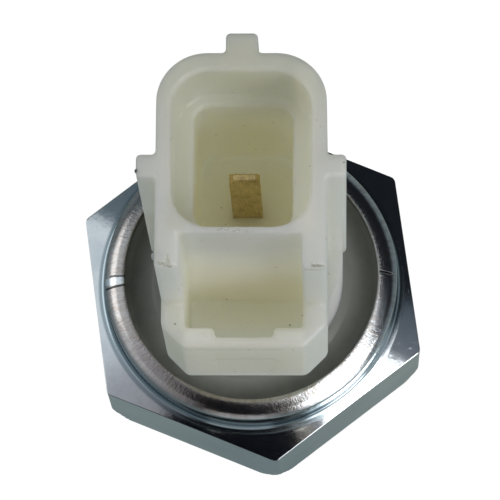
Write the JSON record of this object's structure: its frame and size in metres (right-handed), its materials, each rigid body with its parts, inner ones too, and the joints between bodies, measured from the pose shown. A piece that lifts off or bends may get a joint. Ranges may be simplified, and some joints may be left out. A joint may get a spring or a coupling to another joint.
{
  "type": "oil pressure sender",
  "caption": "Engine oil pressure sender: zinc-plated hexagon body with a tapered pipe thread and a rolled collar that holds a white moulded connector with a blade terminal and latch frame",
  "frame": {"origin": "centre of the flat end of the pipe thread, where the oil enters", "axes": "+Z along the axis from the thread end through the hexagon to the connector mouth; -Y is the side with the latch frame and +Y the side with the key; +X to the right of someone who faces the latch"},
  "size_m": [0.0288, 0.0308, 0.056],
  "materials": {
    "plated_steel": "bright zinc plate over turned and rolled steel",
    "inner_steel": "plain pressed steel",
    "spring_steel": "drawn spring wire",
    "contact_brass": "stamped brass strip, slightly tarnished",
    "contact_silver": "silver contact face",
    "nylon": "natural white translucent nylon, satin moulded surface",
    "pusher_plastic": "black moulded plastic",
    "film": "amber film",
    "seal_rubber": "black oil-resistant rubber",
    "compound": "dark grey cured sealing compound"
  },
  "bodies": {
    "shell": {"hex_body": "plated_steel", "diaphragm_seal": "seal_rubber", "diaphragm": "film", "guide_washer": "inner_steel", "ground_cup": "inner_steel", "return_spring": "spring_steel", "fixed_contact": "contact_silver", "blade_terminal": "contact_brass", "connector_housing": "nylon", "sealing_compound": "compound"},
    "pusher": {"plunger": "pusher_plastic", "contact_plate": "contact_brass", "contact_button": "contact_silver"}
  },
  "joints": [
    {"name": "pressure_lift", "type": "slide", "parent": "shell", "child": "pusher", "axis": [0, 0, 1], "range_m": [0, 0.0006], "stiffness_N_per_m": 1500, "springref_m": -0.004, "deforming": ["return_spring"]}
  ]
}
